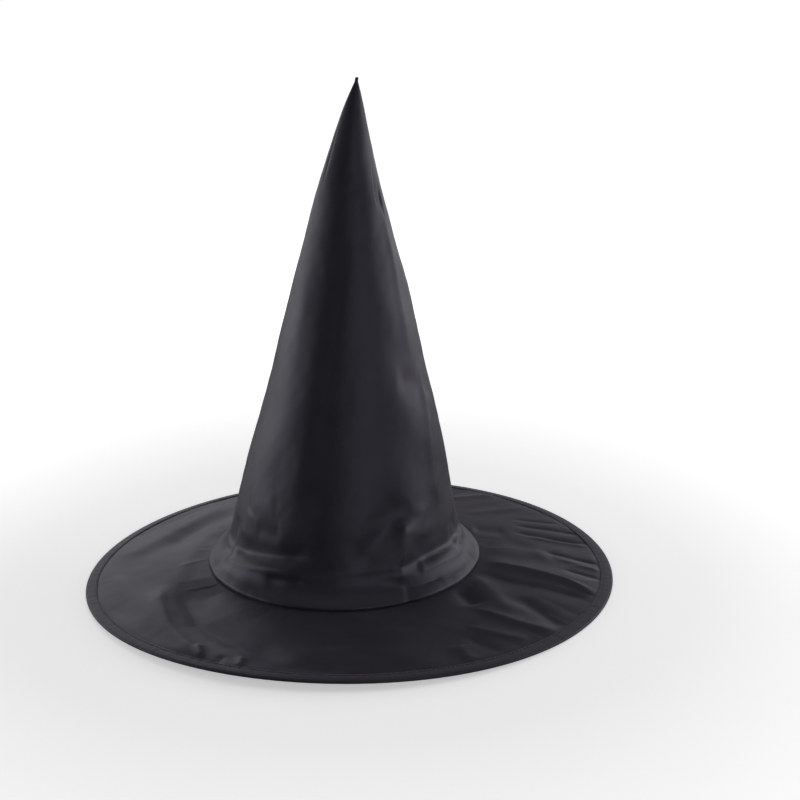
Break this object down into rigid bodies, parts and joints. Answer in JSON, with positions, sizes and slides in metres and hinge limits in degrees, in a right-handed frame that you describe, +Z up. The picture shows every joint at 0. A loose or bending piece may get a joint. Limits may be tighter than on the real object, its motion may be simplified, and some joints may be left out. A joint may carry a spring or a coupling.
{
  "type": "witch hat",
  "caption": "Tall pointed cloth costume hat with a leaning soft peak, a rolled crown seam and a wide round brim held open by a spring hoop.",
  "frame": {"origin": "centre of the brim's edge, on the surface that the hat stands on", "axes": "+Z up through the crown, -Y towards the front of the hat, +Y towards the back seam, +X towards the side that the peak leans to"},
  "size_m": [0.3799, 0.38, 0.3555],
  "materials": {
    "black_cloth": "satin",
    "interlining": "matte",
    "black_thread": "satin",
    "spring_steel": "satin",
    "label_satin": "satin"
  },
  "bodies": {
    "hat": {"brim_top_cloth": "black_cloth", "brim_interlining": "interlining", "brim_under_cloth": "black_cloth", "brim_edge_tape": "black_cloth", "brim_edge_stitching": "black_thread", "brim_hoop": "spring_steel", "hoop_joiner": "spring_steel", "crown_cloth": "black_cloth", "crown_interlining": "interlining", "back_seam_allowance": "black_cloth", "back_seam_stitching": "black_thread", "base_seam_stitching": "black_thread", "opening_tape": "black_cloth", "opening_tape_stitching": "black_thread", "label_stitching": "black_thread"},
    "peak": {"crown_peak_cloth": "black_cloth", "peak_bartack": "black_thread"},
    "label": {"care_label": "label_satin"}
  },
  "joints": [
    {"name": "peak_bend", "type": "hinge", "parent": "hat", "child": "peak", "pos_m": [0.0077, 0, 0.2765], "axis": [0, 1, 0], "range_deg": [-30, 30], "stiffness_Nm_per_rad": 0.02},
    {"name": "label_swing", "type": "hinge", "parent": "hat", "child": "label", "pos_m": [0.00264, 0.0621, 0.1055], "axis": [-1, 0, 0], "range_deg": [-12, 90]}
  ]
}
